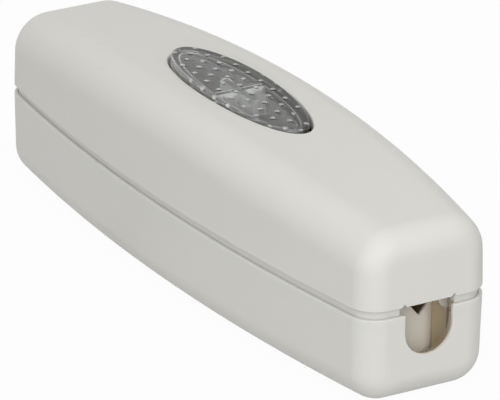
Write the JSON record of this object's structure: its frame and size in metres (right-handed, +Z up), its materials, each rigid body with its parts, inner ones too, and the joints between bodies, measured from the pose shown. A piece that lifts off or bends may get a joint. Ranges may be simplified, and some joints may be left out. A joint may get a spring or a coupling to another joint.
{
  "type": "inline cord dimmer",
  "caption": "Inline cord dimmer: split moulded housing with bowed sides and a cambered top, cord inlets in its ends and a clear dotted push button over a dimmer board.",
  "frame": {"origin": "middle of the base, on the surface that the housing lies on", "axes": "+X along the housing from one cord inlet to the other, +Z up through the push button"},
  "size_m": [0.098, 0.0264, 0.0282],
  "materials": {
    "housing": "satin moulded",
    "clear": "clear polished",
    "board": "laminate",
    "black_plastic": "moulded",
    "lamp": "diffuse cast resin",
    "aluminium": "plain sheet",
    "film_case": "boxed",
    "can_sleeve": "shrink sleeve",
    "ferrite": "sintered",
    "copper": "enamelled wire",
    "fuse_case": "moulded",
    "dipped": "dipped",
    "terminal": "moulded",
    "brass": "plain",
    "steel": "zinc plated"
  },
  "bodies": {
    "housing": {"upper_shell": "housing", "lower_shell": "housing", "circuit_board": "board", "switch_body": "black_plastic", "triac": "black_plastic", "rectifier": "black_plastic", "controller_chip": "black_plastic", "locator_lamp": "lamp", "heat_sink": "aluminium", "film_capacitor": "film_case", "electrolytic_capacitor": "can_sleeve", "choke_core": "ferrite", "choke_winding": "copper", "fuse": "fuse_case", "varistor": "dipped", "resistors": "dipped", "front_terminal_block": "terminal", "rear_terminal_block": "terminal", "terminal_cages": "brass", "terminal_screws": "steel", "housing_screws": "steel"},
    "button": {"push_button": "clear"},
    "stem": {"switch_stem": "black_plastic"}
  },
  "joints": [
    {"name": "button_press", "type": "slide", "parent": "housing", "child": "button", "axis": [0, 0, -1], "range_m": [0, 0.0005], "stiffness_N_per_m": 3000},
    {"name": "stem_press", "type": "slide", "parent": "housing", "child": "stem", "axis": [0, 0, -1], "range_m": [0, 0.0005], "stiffness_N_per_m": 500}
  ],
  "couplings": [
    {"joint": "stem_press", "follows": "button_press", "ratio": 1}
  ]
}
